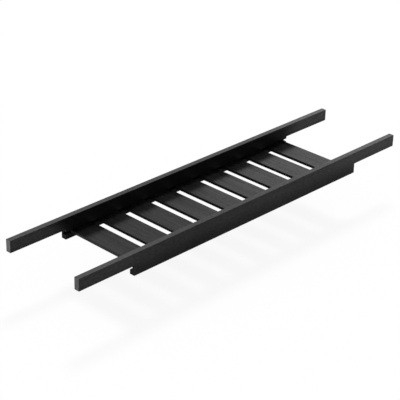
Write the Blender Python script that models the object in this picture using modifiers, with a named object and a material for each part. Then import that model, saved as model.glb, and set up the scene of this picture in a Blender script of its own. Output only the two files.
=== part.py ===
"""Bath caddy: a slatted rack that lies across a bathtub.

Two side rails carry nine flat slats. Each rail is deep in the middle and has a thin arm at each end, which
rests on the tub's rim. The slat ends sit in a groove that runs along the rail's inner face, and a headed
brad, driven up through the groove's lower lip, holds each end.

Metres, +Z up. X runs along the rails and Y across the rack. The origin is the centre of the rack, on the
surface that the rails' undersides stand on.
"""
import math

import bmesh
import bpy

# Slats and the tray that they make
SLAT_COUNT = 9
SLAT_WIDTH = 0.040
SLAT_GAP = 0.014
SLAT_THICKNESS = 0.0046
SLAT_EDGE_ROUND = 0.0006

# Rails
RACK_WIDTH = 0.157
RAIL_THICKNESS = 0.0093
RAIL_EDGE_ROUND = 0.0008
ARM_LENGTH = 0.103
ARM_HEIGHT = 0.0197
WELL_DEPTH = 0.0236          # from the rails' top down to the slats' top
STEP_MARGIN = 0.011          # from the last slat to the step where the arm starts
GROOVE_DEPTH = 0.0057
LIP_HEIGHT = 0.0075          # wood left under the groove

# Brads
BRAD_SHANK_DIAMETER = 0.0014
BRAD_HEAD_DIAMETER = 0.0024
BRAD_HEAD_HEIGHT = 0.0006
BRAD_HEAD_SINK = 0.0004      # the head lies this far inside the rail's underside
BRAD_BITE = 0.0029           # how far the brad reaches into the slat
BRAD_TIP_LENGTH = 0.0012

# Fits
CLEARANCE = 0.0003           # between touching pieces
OVERRUN = 0.002              # how far a cutter passes the face that it opens

# Facets
EDGE_SEGMENTS = 2
BRAD_SIDES = 16
MERGE_DISTANCE = 0.00001
BEVEL_ANGLE = math.radians(30)

# Worked out from the above
SLAT_PITCH = SLAT_WIDTH + SLAT_GAP
TRAY_LENGTH = SLAT_COUNT * SLAT_PITCH - SLAT_GAP
DEEP_LENGTH = TRAY_LENGTH + 2 * STEP_MARGIN
RAIL_LENGTH = DEEP_LENGTH + 2 * ARM_LENGTH
SLAT_BOTTOM = LIP_HEIGHT + CLEARANCE
SLAT_TOP = SLAT_BOTTOM + SLAT_THICKNESS
GROOVE_HEIGHT = SLAT_THICKNESS + 2 * CLEARANCE
RAIL_HEIGHT = SLAT_TOP + WELL_DEPTH
ARM_UNDERSIDE = RAIL_HEIGHT - ARM_HEIGHT
RAIL_Y = (RACK_WIDTH - RAIL_THICKNESS) / 2
INNER_FACE_Y = RACK_WIDTH / 2 - RAIL_THICKNESS
SLAT_LENGTH = 2 * (INNER_FACE_Y + GROOVE_DEPTH - CLEARANCE)
BRAD_Y = INNER_FACE_Y + GROOVE_DEPTH / 2
BRAD_TOP = SLAT_BOTTOM + BRAD_BITE

SIDES = {"near": -1, "far": 1}

RAIL_COLOUR = (0.042, 0.041, 0.041, 1.0)
SLAT_COLOUR = (0.048, 0.047, 0.047, 1.0)
STEEL_COLOUR = (0.45, 0.45, 0.46, 1.0)


def clear_scene():
    for old in list(bpy.data.objects):
        bpy.data.objects.remove(old, do_unlink=True)


def new_collection(name):
    collection = bpy.data.collections.new(name)
    bpy.context.scene.collection.children.link(collection)
    return collection


def new_material(name, colour, roughness, metallic):
    material = bpy.data.materials.new(name)
    material.use_nodes = True
    shader = material.node_tree.nodes["Principled BSDF"]
    shader.inputs["Base Color"].default_value = colour
    shader.inputs["Roughness"].default_value = roughness
    shader.inputs["Metallic"].default_value = metallic
    material.diffuse_color = colour
    return material


def stained_wood(name, colour):
    return new_material(name, colour, roughness=0.5, metallic=0.0)


def steel(name):
    return new_material(name, STEEL_COLOUR, roughness=0.35, metallic=1.0)


def place(mesh, name, location, collection):
    piece = bpy.data.objects.new(name, mesh)
    piece.location = location
    collection.objects.link(piece)
    return piece


def box_mesh(name, size):
    """A box of the given size, centred on its origin."""
    bm = bmesh.new()
    bmesh.ops.create_cube(bm, size=1)
    bmesh.ops.scale(bm, vec=size, verts=bm.verts)
    mesh = bpy.data.meshes.new(name)
    bm.to_mesh(mesh)
    bm.free()
    return mesh


def profile_mesh(name, profile):
    """An open outline of (radius, height) points, to be turned round Z."""
    mesh = bpy.data.meshes.new(name)
    points = [(radius, 0, height) for radius, height in profile]
    mesh.from_pydata(points, [(i, i + 1) for i in range(len(points) - 1)], [])
    return mesh


def add_turning(piece):
    turn = piece.modifiers.new("turned", "SCREW")
    turn.axis = "Z"
    turn.steps = BRAD_SIDES
    turn.render_steps = BRAD_SIDES
    turn.use_merge_vertices = True
    turn.merge_threshold = MERGE_DISTANCE


def add_edge_round(piece, radius):
    bevel = piece.modifiers.new("eased_edges", "BEVEL")
    bevel.width = radius
    bevel.segments = EDGE_SEGMENTS
    bevel.limit_method = "ANGLE"
    bevel.angle_limit = BEVEL_ANGLE


def add_cut(piece, cutter):
    cut = piece.modifiers.new(cutter.name, "BOOLEAN")
    cut.operation = "DIFFERENCE"
    cut.solver = "EXACT"
    cut.object = cutter


def make_cutter(mesh, name, location, collection):
    cutter = place(mesh, name, location, collection)
    cutter.hide_render = True
    cutter.display_type = "WIRE"
    return cutter


def slat_x(number):
    """Centre of a slat along the rack, with the first slat at the left end."""
    return (number - (SLAT_COUNT + 1) / 2) * SLAT_PITCH


def brad_profile():
    """A headed brad from its tip down to the underside of its head."""
    shank = BRAD_SHANK_DIAMETER / 2
    head = BRAD_HEAD_DIAMETER / 2
    head_top = BRAD_HEAD_SINK + BRAD_HEAD_HEIGHT
    return [
        (0, BRAD_TOP),
        (shank, BRAD_TOP - BRAD_TIP_LENGTH),
        (shank, head_top),
        (head, head_top),
        (head, BRAD_HEAD_SINK),
        (0, BRAD_HEAD_SINK),
    ]


def brad_hole_profile():
    """The hole that a brad goes through: the lip's recess and bore, and the blind hole in the slat."""
    bore = BRAD_SHANK_DIAMETER / 2 + CLEARANCE
    recess = BRAD_HEAD_DIAMETER / 2 + CLEARANCE
    recess_top = BRAD_HEAD_SINK + BRAD_HEAD_HEIGHT + CLEARANCE
    return [
        (0, BRAD_TOP + CLEARANCE),
        (bore, BRAD_TOP + CLEARANCE),
        (bore, recess_top),
        (recess, recess_top),
        (recess, -OVERRUN),
        (0, -OVERRUN),
    ]


def make_notch_cutters(cutters):
    """One block for each end of the rack, which takes the lower part of both rails away under the arms."""
    size = (ARM_LENGTH + OVERRUN, RACK_WIDTH + 2 * OVERRUN, ARM_UNDERSIDE + OVERRUN)
    mesh = box_mesh("notch_block", size)
    x = (DEEP_LENGTH + ARM_LENGTH + OVERRUN) / 2
    z = (ARM_UNDERSIDE - OVERRUN) / 2
    return [
        make_cutter(mesh, "notch_left", (-x, 0, z), cutters),
        make_cutter(mesh, "notch_right", (x, 0, z), cutters),
    ]


def make_groove_cutter(side_name, cutters):
    """A bar that opens the groove in the rail's inner face, right through both steps."""
    side = SIDES[side_name]
    size = (DEEP_LENGTH + 2 * OVERRUN, GROOVE_DEPTH + OVERRUN, GROOVE_HEIGHT)
    y = side * (INNER_FACE_Y + (GROOVE_DEPTH - OVERRUN) / 2)
    location = (0, y, LIP_HEIGHT + GROOVE_HEIGHT / 2)
    return make_cutter(box_mesh("groove_bar", size), f"groove_{side_name}", location, cutters)


def make_brad_hole_cutters(side_name, cutters):
    """One stepped peg under each slat end, as a list in the order of the slats."""
    mesh = profile_mesh("brad_hole", brad_hole_profile())
    pegs = []
    for number in range(1, SLAT_COUNT + 1):
        location = (slat_x(number), SIDES[side_name] * BRAD_Y, 0)
        peg = make_cutter(mesh, f"brad_hole_{side_name}_{number}", location, cutters)
        add_turning(peg)
        pegs.append(peg)
    return pegs


def make_rail(side_name, notches, groove, pegs, parts):
    """A bar with its ends notched and its edges eased, then grooved and bored."""
    mesh = box_mesh("rail", (RAIL_LENGTH, RAIL_THICKNESS, RAIL_HEIGHT))
    mesh.materials.append(stained_wood(f"rail_{side_name}_wood", RAIL_COLOUR))
    rail = place(mesh, f"rail_{side_name}", (0, SIDES[side_name] * RAIL_Y, RAIL_HEIGHT / 2), parts)
    for notch in notches:
        add_cut(rail, notch)
    add_edge_round(rail, RAIL_EDGE_ROUND)
    add_cut(rail, groove)
    for peg in pegs:
        add_cut(rail, peg)


def make_slats(pegs_by_side, parts):
    for number in range(1, SLAT_COUNT + 1):
        mesh = box_mesh("slat", (SLAT_WIDTH, SLAT_LENGTH, SLAT_THICKNESS))
        mesh.materials.append(stained_wood(f"slat_{number}_wood", SLAT_COLOUR))
        height = SLAT_BOTTOM + SLAT_THICKNESS / 2
        slat = place(mesh, f"slat_{number}", (slat_x(number), 0, height), parts)
        add_edge_round(slat, SLAT_EDGE_ROUND)
        for pegs in pegs_by_side.values():
            add_cut(slat, pegs[number - 1])


def make_brads(side_name, parts):
    for number in range(1, SLAT_COUNT + 1):
        mesh = profile_mesh("brad", brad_profile())
        mesh.materials.append(steel(f"brad_{side_name}_{number}_steel"))
        location = (slat_x(number), SIDES[side_name] * BRAD_Y, 0)
        brad = place(mesh, f"brad_{side_name}_{number}", location, parts)
        add_turning(brad)


def main():
    clear_scene()
    parts = new_collection("bath_caddy")
    cutters = new_collection("cutters")
    notches = make_notch_cutters(cutters)
    pegs_by_side = {name: make_brad_hole_cutters(name, cutters) for name in SIDES}
    for name in SIDES:
        make_rail(name, notches, make_groove_cutter(name, cutters), pegs_by_side[name], parts)
        make_brads(name, parts)
    make_slats(pegs_by_side, parts)


main()
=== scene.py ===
# Bath caddy: a slatted rack in black-stained wood that lies across a tub.
# Two notched side rails hold nine slats by their ends in a groove, and a sunk brad pins each end from below.
# Metres, +Z up, X along the rails and Y across the rack, with the rails' undersides at zero.
import math

import bmesh
import bpy
from mathutils import Matrix, Vector


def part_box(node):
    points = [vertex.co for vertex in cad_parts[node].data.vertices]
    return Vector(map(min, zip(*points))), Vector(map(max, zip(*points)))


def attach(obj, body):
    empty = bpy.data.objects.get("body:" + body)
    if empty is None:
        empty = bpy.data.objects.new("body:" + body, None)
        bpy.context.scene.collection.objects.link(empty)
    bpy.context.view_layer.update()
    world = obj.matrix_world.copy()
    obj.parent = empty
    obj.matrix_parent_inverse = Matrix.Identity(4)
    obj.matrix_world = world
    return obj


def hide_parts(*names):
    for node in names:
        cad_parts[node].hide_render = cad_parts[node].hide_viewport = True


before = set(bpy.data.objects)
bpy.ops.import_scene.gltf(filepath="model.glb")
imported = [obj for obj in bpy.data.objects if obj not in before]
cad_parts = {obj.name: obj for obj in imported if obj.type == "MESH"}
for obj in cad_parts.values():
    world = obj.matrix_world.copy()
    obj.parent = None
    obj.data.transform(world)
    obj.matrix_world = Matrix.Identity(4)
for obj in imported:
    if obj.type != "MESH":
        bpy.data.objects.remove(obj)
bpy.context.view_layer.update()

MM = 0.001

# Rails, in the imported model's sizes
STEP_X = 247 * MM            # from the rack's middle to the step where an arm starts
ARM_UNDERSIDE = 16.3 * MM
GROOVE_FLOOR = 7.5 * MM
GROOVE_ROOF = 12.7 * MM
GROOVE_DEPTH = 5.7 * MM

# Eased edges, finer than the solids' own
EASING = 0.3 * MM
EASING_SEGMENTS = 3

# Brads and the holes that they sit in
BRAD_INSET = 2.85 * MM       # from the rail's inner face to the row of brads
SHANK_RADIUS = 0.7 * MM
HEAD_RADIUS = 1.2 * MM
HEAD_FACE = 0.4 * MM         # from the rail's underside up to the head
HEAD_THICKNESS = 0.6 * MM
HEAD_DOME = 0.15 * MM
SHOULDER_OUT = 0.6           # the dome's shoulder, as a share of the head's radius
SHOULDER_UP = 0.3            # and of the dome's height
POINT_LENGTH = 1.2 * MM
BRAD_TOP = 10.7 * MM
FIT = 0.3 * MM               # room round a brad
BRAD_SIDES = 24

SIDES = {"near": -1, "far": 1}
SLAT_NUMBERS = range(1, 10)
OUTER_SIDE_LIGHT = 0.5              # how far an outer side of an end slat is lightened as painted light, where an eased edge's wear counts 1

SHARP = math.radians(30)
NEARLY_FLAT = math.radians(1)
ALIGNED = 0.99               # how far a flat side's normal points along its axis, at least
TINY = 0.01 * MM


# Shaping

def picked(kind, geom):
    """The vertices, edges or faces among what an operator returns."""
    return [item for item in geom if isinstance(item, kind)]


def add_object(name, data):
    made = bpy.data.objects.new(name, data)
    bpy.context.scene.collection.objects.link(made)
    return made


def add_mesh(bm, name, material):
    mesh = bpy.data.meshes.new(name)
    bm.to_mesh(mesh)
    bm.free()
    mesh.materials.append(material)
    return add_object(name, mesh)


def pull(bm, faces, distance):
    """Pulls faces along X and returns the faces at the new end."""
    new = bmesh.ops.extrude_face_region(bm, geom=faces)["geom"]
    bmesh.ops.translate(bm, vec=(distance, 0, 0), verts=picked(bmesh.types.BMVert, new))
    return picked(bmesh.types.BMFace, new)


def section(bm, x, outline):
    """A flat face across the rail from (y, z) points."""
    return bm.faces.new([bm.verts.new((x, y, z)) for y, z in outline])


def rail_blank(bm, outer, inner, underside, top, arm_end):
    """The rail's section at its left step, pulled out along X. The grooved foot ends at the steps and the bar
    above it runs on as the arms."""
    bed = inner + math.copysign(GROOVE_DEPTH, outer)
    foot = [
        (outer, ARM_UNDERSIDE), (outer, underside), (inner, underside), (inner, GROOVE_FLOOR),
        (bed, GROOVE_FLOOR), (bed, GROOVE_ROOF), (inner, GROOVE_ROOF), (inner, ARM_UNDERSIDE),
    ]
    bar = [(inner, ARM_UNDERSIDE), (inner, top), (outer, top), (outer, ARM_UNDERSIDE)]
    left_foot = section(bm, -STEP_X, foot)
    left_bar = section(bm, -STEP_X, bar)
    bmesh.ops.remove_doubles(bm, verts=bm.verts, dist=TINY)
    right_foot, right_bar = pull(bm, [left_foot, left_bar], 2 * STEP_X)
    if right_foot.calc_center_median().z > right_bar.calc_center_median().z:
        right_foot, right_bar = right_bar, right_foot
    pull(bm, [left_bar], STEP_X - arm_end)
    pull(bm, [right_bar], arm_end - STEP_X)
    bmesh.ops.delete(bm, geom=[left_bar, right_bar], context="FACES_ONLY")
    bmesh.ops.remove_doubles(bm, verts=bm.verts, dist=TINY)
    bmesh.ops.dissolve_limit(bm, angle_limit=NEARLY_FLAT, verts=bm.verts, edges=bm.edges)
    bmesh.ops.recalc_face_normals(bm, faces=bm.faces)


def in_groove(edge):
    return all(GROOVE_FLOOR - TINY < v.co.z < GROOVE_ROOF + TINY for v in edge.verts)


def ease_edges(bm, edges):
    """Rounds edges over, and returns the new faces."""
    eased = bmesh.ops.bevel(
        bm, geom=edges, offset=EASING, offset_type="OFFSET", segments=EASING_SEGMENTS, profile=0.5,
        affect="EDGES", material=-1, clamp_overlap=True,
    )
    bm.normal_update()
    return [face for face in eased["faces"] if face.is_valid]


def flat_face(bm, level, facing):
    """The largest face at a level that faces up, 1, or down, -1."""
    flats = [
        face for face in bm.faces
        if face.normal.z * facing > ALIGNED and abs(face.calc_center_median().z - level) < TINY
    ]
    return max(flats, key=lambda face: face.calc_area())


def open_holes(bm, level, facing, spots, radius):
    """Opens a round hole at each spot of the flat face at a level, and returns the rims."""
    face = flat_face(bm, level, facing)
    border = list(face.edges)
    bmesh.ops.delete(bm, geom=[face], context="FACES_ONLY")
    rims = []
    for x, y in spots:
        place = Matrix.Translation((x, y, level))
        ring = bmesh.ops.create_circle(bm, cap_ends=False, radius=radius, segments=BRAD_SIDES, matrix=place)
        rims.append(list(dict.fromkeys(edge for vert in ring["verts"] for edge in vert.link_edges)))
    bmesh.ops.triangle_fill(
        bm, use_beauty=True, use_dissolve=False, edges=border + sum(rims, []), normal=(0, 0, facing),
    )
    return rims


def sink(bm, rim, rise, spread=1.0):
    """Carries a hole's rim on by a rise, spread about its own centre, and returns the new rim."""
    new = bmesh.ops.extrude_edge_only(bm, edges=rim)["geom"]
    ring = picked(bmesh.types.BMVert, new)
    centre = sum((v.co for v in ring), Vector()) / len(ring)
    bmesh.ops.scale(bm, vec=(spread, spread, 1), space=Matrix.Translation(-centre), verts=ring)
    bmesh.ops.translate(bm, vec=(0, 0, rise), verts=ring)
    edges = picked(bmesh.types.BMEdge, new)
    return [edge for edge in edges if abs(edge.verts[0].co.z - edge.verts[1].co.z) < TINY]


def place_piece(bm, name, node, material):
    """Makes the piece that stands for a node, with its faces outwards and its flats shaded flat."""
    bmesh.ops.recalc_face_normals(bm, faces=bm.faces)
    for face in bm.faces:
        face.smooth = True
    for edge in bm.edges:
        edge.smooth = len(edge.link_faces) == 2 and edge.calc_face_angle() < SHARP
    piece = add_mesh(bm, name, material)
    shading = piece.modifiers.new("flats", "WEIGHTED_NORMAL")
    shading.keep_sharp = True
    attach(piece, "root")
    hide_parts(node)


# Pieces

def new_wood():
    """An empty piece of wood, and the marks that its faces will take: how far each is end grain, a cut face
    darkened as painted shade, worn at an eased edge, lightened as painted light on an outer side, and inside
    the tray's painted shade."""
    bm = bmesh.new()
    kinds = ("end_grain", "sawn_and_shade", "rubbed_and_lit", "tray_shade")
    return bm, {kind: bm.faces.layers.float.new(kind) for kind in kinds}


def mark_wood(bm, marks, grain, eased, sawn_and_shade, outer=(), tray=()):
    """Marks the faces of each group, and all faces by how squarely they cut the grain."""
    for face in bm.faces:
        face[marks["end_grain"]] = face.normal.dot(grain) ** 2
    for face in sawn_and_shade:
        face[marks["end_grain"]] = 0
        face[marks["sawn_and_shade"]] = 1
    # Outer sides are lightened a little as painted light.
    for face in outer:
        face[marks["rubbed_and_lit"]] = OUTER_SIDE_LIGHT
    for face in eased:
        face[marks["rubbed_and_lit"]] = 1
    for face in tray:
        face[marks["tray_shade"]] = 1


def brad_spot(side_name, number):
    """Where the brad of a slat's end stands, as x and y."""
    side = SIDES[side_name]
    slat_low, slat_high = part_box(f"slat_{number}")
    rail_low, rail_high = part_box(f"rail_{side_name}")
    inner = rail_low.y if side > 0 else rail_high.y
    return (slat_low.x + slat_high.x) / 2, inner + side * BRAD_INSET


def in_notch(face):
    """Whether a rail's face is one that the notch under an arm was cut to, which is darkened there as painted
    shade.
    """
    middle = face.calc_center_median()
    at_step = abs(abs(middle.x) - STEP_X) < TINY
    return at_step or abs(middle.z - ARM_UNDERSIDE) < TINY


def make_rail(side_name, material):
    """A rail with a stepped hole for each brad: a recess for the head and a bore through the groove's lip."""
    node = f"rail_{side_name}"
    side = SIDES[side_name]
    low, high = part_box(node)
    outer, inner = (high.y, low.y) if side > 0 else (low.y, high.y)
    bm, marks = new_wood()
    rail_blank(bm, outer, inner, low.z, high.z, high.x)
    corners = [edge for edge in bm.edges if edge.calc_face_angle(0) > SHARP and not in_groove(edge)]
    eased = ease_edges(bm, corners)
    # The notch's faces are matt, and darkened and bare of varnish as painted shade under the arms.
    sawn_and_shade = [face for face in bm.faces if in_notch(face)]
    # Faces towards the tray take painted shade: darker, rougher and nearly bare of varnish.
    tray = [face for face in bm.faces if -face.normal.y * side > ALIGNED]
    mark_wood(bm, marks, Vector((1, 0, 0)), eased, sawn_and_shade, tray=tray)
    spots = [brad_spot(side_name, number) for number in SLAT_NUMBERS]
    recesses = open_holes(bm, low.z, -1, spots, HEAD_RADIUS + FIT)
    mouths = open_holes(bm, GROOVE_FLOOR, 1, spots, SHANK_RADIUS + FIT)
    for recess, mouth in zip(recesses, mouths):
        seat = sink(bm, recess, HEAD_FACE + HEAD_THICKNESS + FIT)
        bore = sink(bm, seat, 0, (SHANK_RADIUS + FIT) / (HEAD_RADIUS + FIT))
        bmesh.ops.bridge_loops(bm, edges=bore + mouth)
    place_piece(bm, f"side_rail_{side_name}", node, material)


def make_slat(number, material):
    """A slat with a blind hole in its underside for each brad. Its sides are cut faces, matt and darkened as
    painted shade between the slats, apart from the outer sides of the first and the last slat, which are
    lightened as painted light."""
    node = f"slat_{number}"
    low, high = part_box(node)
    bm, marks = new_wood()
    bmesh.ops.create_cube(bm, size=1)
    bmesh.ops.scale(bm, vec=high - low, verts=bm.verts)
    bmesh.ops.translate(bm, vec=(low + high) / 2, verts=bm.verts)
    eased = ease_edges(bm, list(bm.edges))
    outward = {SLAT_NUMBERS[0]: -1, SLAT_NUMBERS[-1]: 1}.get(number, 0)
    # The sides between slats are darkened as painted shade.
    sides = [face for face in bm.faces if abs(face.normal.x) > ALIGNED]
    outer = [face for face in sides if face.normal.x * outward > 0]
    sawn_and_shade = [face for face in sides if face not in outer]
    mark_wood(bm, marks, Vector((0, 1, 0)), eased, sawn_and_shade, outer)
    spots = [brad_spot(side_name, number) for side_name in SIDES]
    for rim in open_holes(bm, low.z, -1, spots, SHANK_RADIUS + FIT):
        bottom = sink(bm, rim, BRAD_TOP + FIT - low.z)
        bmesh.ops.contextual_create(bm, geom=bottom)
    place_piece(bm, f"tray_slat_{number}", node, material)


def make_brad(side_name, number, material):
    """A brad, turned round from its point down to its domed head."""
    node = f"brad_{side_name}_{number}"
    low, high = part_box(node)
    centre = (low + high) / 2
    head_top = HEAD_FACE + HEAD_THICKNESS
    profile = [
        (0, BRAD_TOP), (SHANK_RADIUS, BRAD_TOP - POINT_LENGTH), (SHANK_RADIUS, head_top),
        (HEAD_RADIUS, head_top), (HEAD_RADIUS, HEAD_FACE + HEAD_DOME),
        (HEAD_RADIUS * SHOULDER_OUT, HEAD_FACE + HEAD_DOME * SHOULDER_UP), (0, HEAD_FACE),
    ]
    bm = bmesh.new()
    points = [bm.verts.new((centre.x + radius, centre.y, height)) for radius, height in profile]
    line = [bm.edges.new(pair) for pair in zip(points, points[1:])]
    bmesh.ops.spin(
        bm, geom=points + line, cent=(centre.x, centre.y, 0), axis=(0, 0, 1), dvec=(0, 0, 0),
        angle=2 * math.pi, steps=BRAD_SIDES, use_merge=True, use_duplicate=False,
    )
    bmesh.ops.remove_doubles(bm, verts=bm.verts, dist=TINY)
    place_piece(bm, f"pin_{side_name}_{number}", node, material)


# Finishes

WHITE = (1, 1, 1, 1)
WOOD_IOR = 1.12
VARNISH_IOR = 1.25

# The tone scales the stain's greys and the figure its streaks and bands. The sheen that the coat gains
# towards the rails' ends is painted sheen, and the coat thins below the heights given, as painted shade low
# on the rails.
RAIL_LOOK = {
    "tone": 0.85, "figure": 0.35, "roughness": 0.38, "coat": 0.6, "end_sheen": 0.42,
    "varnish_roughness": 0.37, "above_shade": (4 * MM, 28 * MM),
}
SLAT_LOOK = {
    "tone": 0.5, "figure": 2.0, "roughness": 0.22, "coat": 0.55, "end_sheen": 0,
    "varnish_roughness": 0.17, "above_shade": (0, 5 * MM),
}

# Patterns of the grain: a mark's length and width, the detail and roughness of its noise, and the levels of
# the noise where the mark starts and is full
GRAIN = {
    "streaks": (150 * MM, 2.6 * MM, 2, 0.5, 0.36, 0.66),
    "bands": (220 * MM, 9 * MM, 1, 0.5, 0.38, 0.64),
    "fibres": (26 * MM, 0.7 * MM, 3, 0.6, 0.30, 0.70),
    "flecks": (7 * MM, 1.9 * MM, 1, 0.5, 0.35, 0.65),
    "pores": (11 * MM, 0.5 * MM, 2, 0.5, 0.60, 0.70),
    "cloud": (60 * MM, 30 * MM, 2, 0.5, 0.35, 0.65),
}
WORN_AND_LIT_FIBRES = (0.25, 0.85)   # the fibres that wear lightens on eased edges and painted light on outer sides, from none to fully

# What the marks add to the stain's lightness, the varnish, the roughness and the height of the surface
# Marks on cut faces and on faces towards the tray darken them as painted shade, and the wear mark also
# lightens the outer sides of the end slats as painted light.
STAIN_WEIGHTS = {
    "streaks": 0.26, "bands": 0.20, "flecks": 0.30, "fibres": 0.26, "cloud": 0.22, "pores": -0.26,
    "worn_and_lit": 0.35, "sawn_and_shade": -0.45,
}
VARNISH_WEIGHTS = {"streaks": 0.16, "fibres": 0.12, "flecks": 0.22, "pores": -0.45}
ROUGHNESS_WEIGHTS = {
    "streaks": -0.06, "fibres": -0.06, "pores": 0.2, "worn_and_lit": -0.06, "sawn_and_shade": 0.35, "end_grain": 0.25,
    "tray_shade": 0.2,
}
RELIEF_WEIGHTS = {"fibres": 0.4, "streaks": 0.45, "pores": -0.7, "flecks": 0.35}

STAIN_LIGHTNESS = 0.36
PLANED_GREYS = (0.003, 0.024)
END_GRAIN_GREYS = (0.028, 0.075)
STAIN_WARMTH = 0.01
VARNISH_THICKNESS = 0.86
SHADED_VARNISH = 0.15          # the share of it that is left low on the rails, as painted shade
RELIEF_STRENGTH = 0.4
RELIEF_DEPTH = 0.08 * MM

# Distances from the rack's middle: where the painted sheen towards the rails' ends starts, and where the
# painted shade on the faces towards the tray ends
END_SHEEN_REACH = (110 * MM, 330 * MM)
TRAY_SHADE_FADE = (STEP_X - 20 * MM, STEP_X + 40 * MM)
TRAY_SHADE_DARKENING = 0.6
TRAY_SHADE_BARENESS = 0.95    # the share of its varnish that a face towards the tray lacks, as painted shade
END_GRAIN_BARENESS = 0.5

STEEL_GREYS = (0.22, 0.42)
STEEL_WARMTH = 0.02
STEEL_BLOTCH = 0.5 * MM
STEEL_ROUGHNESS = 0.3
STEEL_DULLING = 0.25         # what the blotches add to it

# Where in the grain's pattern each piece is cut, so that no two match
RAIL_CUTS = {"near": (-0.31, 0.01, 0.055), "far": (0.31, 0.05, 0.055)}
SLAT_CUT_STEP = 0.17
SLAT_CUT_HEIGHTS = (0.020, 0.024, 0.028, 0.032)


class Wire:
    """The output of a node, which can be written in sums."""

    def __init__(self, finish, socket):
        self.finish, self.socket = finish, socket

    def maths(self, operation, *values, clamp=False):
        settings = {"operation": operation, "use_clamp": clamp}
        return self.finish.node("ShaderNodeMath", settings, dict(enumerate(values or (self,))))

    def __add__(self, other):
        return self.maths("ADD", self, other)

    def __sub__(self, other):
        return self.maths("SUBTRACT", self, other)

    def __rsub__(self, other):
        return self.maths("SUBTRACT", other, self)

    def __mul__(self, other):
        return self.maths("MULTIPLY", self, other)

    __radd__ = __add__
    __rmul__ = __mul__

    def held(self):
        """Kept from 0 to 1."""
        return self.maths("ADD", self, 0, clamp=True)

    def ramp(self, start, end):
        """0 up to start and 1 from end on, with a soft change between."""
        settings = {"interpolation_type": "SMOOTHSTEP"}
        values = {"Value": self, "From Min": start, "From Max": end}
        return self.finish.node("ShaderNodeMapRange", settings, values)


class Finish:
    """A material, or the world, and its nodes."""

    def __init__(self, owner):
        owner.use_nodes = True
        self.owner = owner
        self.tree = owner.node_tree
        self.tree.nodes.clear()

    def node(self, kind, settings=None, values=None, output=None):
        """Adds a node and returns one of its outputs, the first by default."""
        made = self.tree.nodes.new(kind)
        for name, value in (settings or {}).items():
            setattr(made, name, value)
        for name, value in (values or {}).items():
            if isinstance(value, Wire):
                self.tree.links.new(value.socket, made.inputs[name])
            else:
                made.inputs[name].default_value = value
        if not made.outputs:
            return None
        return Wire(self, made.outputs[output or 0])

    def blend(self, factor, first, second):
        """Mixes two colours."""
        values = {"Factor": factor, "A": first, "B": second}
        return self.node("ShaderNodeMix", {"data_type": "RGBA"}, values, "Result")


def grey(level, warmth=0.0):
    """A grey, turned a little towards red by its warmth."""
    return (level * (1 + warmth), level, level * (1 - warmth), 1)


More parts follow.
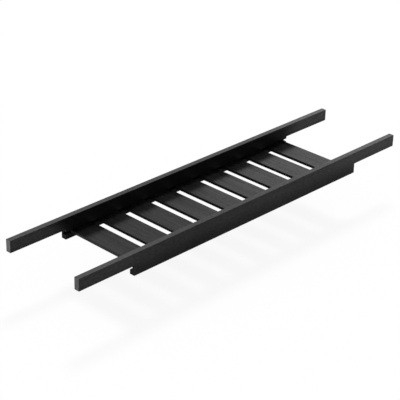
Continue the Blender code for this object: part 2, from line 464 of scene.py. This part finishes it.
def stained_wood(name, turn, cut, look):
    """Open-grained wood under a thin black stain and a satin varnish, with the grain along the pattern's X.
    The coat is whole above the second of the given heights and thins below the first, as painted shade low
    down, and it gains painted sheen towards the ends. A face towards the tray is darker and nearly bare of
    varnish, as painted shade."""
    finish = Finish(bpy.data.materials.new(name))
    node = finish.node
    place = node("ShaderNodeTexCoord", output="Object")
    spot = node("ShaderNodeMapping", None, {"Vector": place, "Rotation": (0, 0, turn), "Location": cut})

    def pattern(kind):
        """Noise drawn out along the grain, from no mark to a full one."""
        length, width, detail, roughness, start, full = GRAIN[kind]
        stretch = (1 / length, 1 / width, 1 / width)
        along = node("ShaderNodeVectorMath", {"operation": "MULTIPLY"}, {0: spot, 1: stretch})
        values = {"Vector": along, "Scale": 1, "Detail": detail, "Roughness": roughness}
        return node("ShaderNodeTexNoise", None, values, "Fac").ramp(start, full)

    def marked(kind):
        return node("ShaderNodeAttribute", {"attribute_name": kind}, None, "Fac")

    def measured(axis):
        return node("ShaderNodeSeparateXYZ", None, {"Vector": place}, axis)

    # Painted shade: the coat thins towards the bottom of the rails.
    above_shade = measured("Z").ramp(*look["above_shade"])
    reach = measured("X").maths("ABSOLUTE")
    # Painted sheen: the coat gains towards the rails' ends.
    handled = reach.ramp(*END_SHEEN_REACH)
    fibres = pattern("fibres")
    marks = {
        "streaks": (pattern("streaks") - 0.5) * look["figure"],
        "bands": (pattern("bands") - 0.5) * look["figure"],
        "fibres": fibres - 0.5,
        "flecks": pattern("flecks") - 0.5,
        "cloud": pattern("cloud") - 0.5,
        "pores": pattern("pores"),
        # Wear on eased edges, and painted light on the outer sides of the end slats.
        "worn_and_lit": marked("rubbed_and_lit") * fibres.ramp(*WORN_AND_LIT_FIBRES),
        "sawn_and_shade": marked("sawn_and_shade"),
        "end_grain": marked("end_grain"),
        # Painted shade on faces towards the tray, fading out at the arms.
        "tray_shade": marked("tray_shade") * (1 - reach.ramp(*TRAY_SHADE_FADE)),
    }

    def weighed(base, weights):
        """A base value, with each mark's share added."""
        return sum((marks[kind] * weight for kind, weight in weights.items()), base)

    # The faces towards the tray are darkened as painted shade.
    shade = weighed(STAIN_LIGHTNESS, STAIN_WEIGHTS).held() * (1 - marks["tray_shade"] * TRAY_SHADE_DARKENING)

    def stained(greys):
        dark, light = greys
        return finish.blend(shade, grey(dark * look["tone"]), grey(light * look["tone"], STAIN_WARMTH))

    # The coat's gain towards the ends is painted sheen.
    varnish = weighed(VARNISH_THICKNESS, VARNISH_WEIGHTS) * (look["coat"] + handled * look["end_sheen"])
    # The coat thins low on the rails as painted shade, and cut faces lose it, partly as painted shade.
    varnish = varnish * (SHADED_VARNISH + above_shade * (1 - SHADED_VARNISH)) * (1 - marks["sawn_and_shade"])
    # Faces towards the tray lose their varnish as painted shade.
    varnish = varnish * (1 - marks["tray_shade"] * TRAY_SHADE_BARENESS)
    varnish = varnish * (1 - marks["end_grain"] * END_GRAIN_BARENESS)
    relief = node("ShaderNodeBump", None, {
        "Strength": RELIEF_STRENGTH, "Distance": RELIEF_DEPTH, "Height": weighed(0, RELIEF_WEIGHTS),
    }, "Normal")
    shader = node("ShaderNodeBsdfPrincipled", None, {
        "Base Color": finish.blend(marks["end_grain"], stained(PLANED_GREYS), stained(END_GRAIN_GREYS)),
        "Roughness": weighed(look["roughness"], ROUGHNESS_WEIGHTS), "Normal": relief, "IOR": WOOD_IOR,
        "Coat Weight": varnish, "Coat Roughness": look["varnish_roughness"], "Coat IOR": VARNISH_IOR,
    })
    node("ShaderNodeOutputMaterial", None, {"Surface": shader})
    return finish.owner


def brad_steel():
    """Wire-drawn steel, dulled in blotches."""
    finish = Finish(bpy.data.materials.new("dull_steel"))
    node = finish.node
    spot = node("ShaderNodeTexCoord", output="Object")
    blotch = node("ShaderNodeTexNoise", None, {"Vector": spot, "Scale": 1 / STEEL_BLOTCH, "Detail": 3}, "Fac")
    dark, light = STEEL_GREYS
    shader = node("ShaderNodeBsdfPrincipled", None, {
        "Base Color": finish.blend(blotch, grey(dark, STEEL_WARMTH), grey(light)),
        "Roughness": STEEL_ROUGHNESS + blotch * STEEL_DULLING, "Metallic": 1,
    })
    node("ShaderNodeOutputMaterial", None, {"Surface": shader})
    return finish.owner


# Studio

# The camera, fitted to the photograph's edges
VIEW_AZIMUTH = math.radians(-46.245)
VIEW_ELEVATION = math.radians(26.807)
VIEW_ROLL = math.radians(1.388)
VIEW_DISTANCE = 2.07028
VIEW_TARGET = Vector((-0.060543, -0.024686, 0.036))
LENS = 123.263
SENSOR_WIDTH = 36
NEAREST = 0.05
FURTHEST = 50

FLOOR_LEVEL = -65 * MM
FLOOR_REACH = 12.0
FLOOR_COLOUR = 0.85
FLOOR_SHADE_SHARE = 0.115    # how much of the floor's own shading the camera sees
FLOOR_GLOW = 1.015           # white, with what the floor's own shading lacks of it

FILL_LEVEL = 0.4
KEY_STRENGTH = 1.85
KEY_TURN = math.radians(-4)  # from straight behind the rack, as the camera sees it
KEY_ELEVATION = math.radians(54)
KEY_ANGLE = math.radians(15)

# A softbox's place, the point that it faces, its size and its power
BACK_SOFTBOX = ((2.6, 1.5, 1.0), (0.1, 0, 0.02), 1.4, 3.3)
LEFT_SOFTBOX = ((-1.1, 0.45, 0.12), (-0.35, 0.07, 0.02), 0.3, 15.5)


def towards(azimuth, elevation):
    """The direction from the rack to a point. The front is at 0 and the right-hand end at a quarter turn."""
    level = math.cos(elevation)
    return Vector((math.sin(azimuth) * level, -math.cos(azimuth) * level, math.sin(elevation)))


def seen_rays(finish):
    """1 for the rays that show the background: camera, glossy and transmission rays."""
    camera, glossy, transmission = [
        finish.node("ShaderNodeLightPath", output=f"Is {kind} Ray")
        for kind in ("Camera", "Glossy", "Transmission")
    ]
    return (camera + glossy + transmission).held()


def white_paper():
    """Paper that shows as white under the rack's shadow, and lights the rack as pale paper would."""
    finish = Finish(bpy.data.materials.new("white_paper"))
    seen = seen_rays(finish)
    tone = finish.blend(seen, grey(FLOOR_COLOUR), WHITE)
    paper = finish.node("ShaderNodeBsdfDiffuse", None, {"Color": tone})
    glow = finish.node("ShaderNodeEmission", None, {"Color": WHITE, "Strength": FLOOR_GLOW})
    share = seen * (1 - FLOOR_SHADE_SHARE)
    mixed = finish.node("ShaderNodeMixShader", None, {0: share, 1: paper, 2: glow})
    finish.node("ShaderNodeOutputMaterial", None, {"Surface": mixed})
    return finish.owner


def make_floor():
    bm = bmesh.new()
    bmesh.ops.create_grid(bm, x_segments=1, y_segments=1, size=FLOOR_REACH)
    bmesh.ops.translate(bm, vec=(0, 0, FLOOR_LEVEL), verts=bm.verts)
    floor = add_mesh(bm, "floor", white_paper())
    return floor


def make_world():
    world = bpy.data.worlds.new("studio")
    bpy.context.scene.world = world
    finish = Finish(world)
    fill = finish.node("ShaderNodeBackground", None, {"Color": WHITE, "Strength": FILL_LEVEL})
    backdrop = finish.node("ShaderNodeBackground", None, {"Color": WHITE, "Strength": 1})
    mixed = finish.node("ShaderNodeMixShader", None, {0: seen_rays(finish), 1: fill, 2: backdrop})
    finish.node("ShaderNodeOutputWorld", None, {"Surface": mixed})


def add_lamp(name, kind, direction, **settings):
    """A lamp that shines in a direction."""
    data = bpy.data.lights.new(name, kind)
    for key, value in settings.items():
        setattr(data, key, value)
    lamp = add_object(name, data)
    lamp.rotation_mode = "QUATERNION"
    lamp.rotation_quaternion = direction.to_track_quat("-Z", "Y")
    return lamp


def softbox(name, place, aim, size, power):
    direction = Vector(aim) - Vector(place)
    lamp = add_lamp(name, "AREA", direction, shape="SQUARE", size=size, energy=power)
    lamp.location = place
    return lamp


def flag_off(lamp, spared):
    """Keeps a lamp's light off one object, as a flag beside the lamp would."""
    flagged = bpy.data.collections.new(f"{lamp.name}_flag")
    flagged.objects.link(spared)
    flagged.collection_objects[0].light_linking.link_state = "EXCLUDE"
    lamp.light_linking.receiver_collection = flagged


def make_lamps(floor):
    """A broad key from behind the rack, a softbox that its tops mirror, and one low at the left for the end
    faces. The last is flagged off the floor, where it would thin the rack's shadow."""
    key_azimuth = VIEW_AZIMUTH + math.pi + KEY_TURN
    add_lamp("key", "SUN", -towards(key_azimuth, KEY_ELEVATION), energy=KEY_STRENGTH, angle=KEY_ANGLE)
    softbox("back_right", *BACK_SOFTBOX)
    flag_off(softbox("left", *LEFT_SOFTBOX), floor)


def make_camera():
    back = towards(VIEW_AZIMUTH, VIEW_ELEVATION)
    right = Vector((0, 0, 1)).cross(back).normalized()
    up = back.cross(right)
    turned_right = right * math.cos(VIEW_ROLL) + up * math.sin(VIEW_ROLL)
    turned_up = up * math.cos(VIEW_ROLL) - right * math.sin(VIEW_ROLL)
    data = bpy.data.cameras.new("camera")
    data.lens = LENS
    data.sensor_width = SENSOR_WIDTH
    data.clip_start = NEAREST
    data.clip_end = FURTHEST
    camera = add_object("camera", data)
    turn = Matrix((turned_right, turned_up, back)).transposed().to_4x4()
    camera.matrix_world = Matrix.Translation(VIEW_TARGET + back * VIEW_DISTANCE) @ turn
    bpy.context.scene.camera = camera


def main():
    bpy.context.scene.view_settings.view_transform = "Standard"
    make_camera()
    make_world()
    make_lamps(make_floor())
    steel = brad_steel()
    for side_name in SIDES:
        make_rail(side_name, stained_wood(f"rail_stain_{side_name}", 0, RAIL_CUTS[side_name], RAIL_LOOK))
        for number in SLAT_NUMBERS:
            make_brad(side_name, number, steel)
    for number in SLAT_NUMBERS:
        cut = (SLAT_CUT_STEP * number, 0, SLAT_CUT_HEIGHTS[number % len(SLAT_CUT_HEIGHTS)])
        make_slat(number, stained_wood(f"slat_stain_{number}", math.pi / 2, cut, SLAT_LOOK))


main()
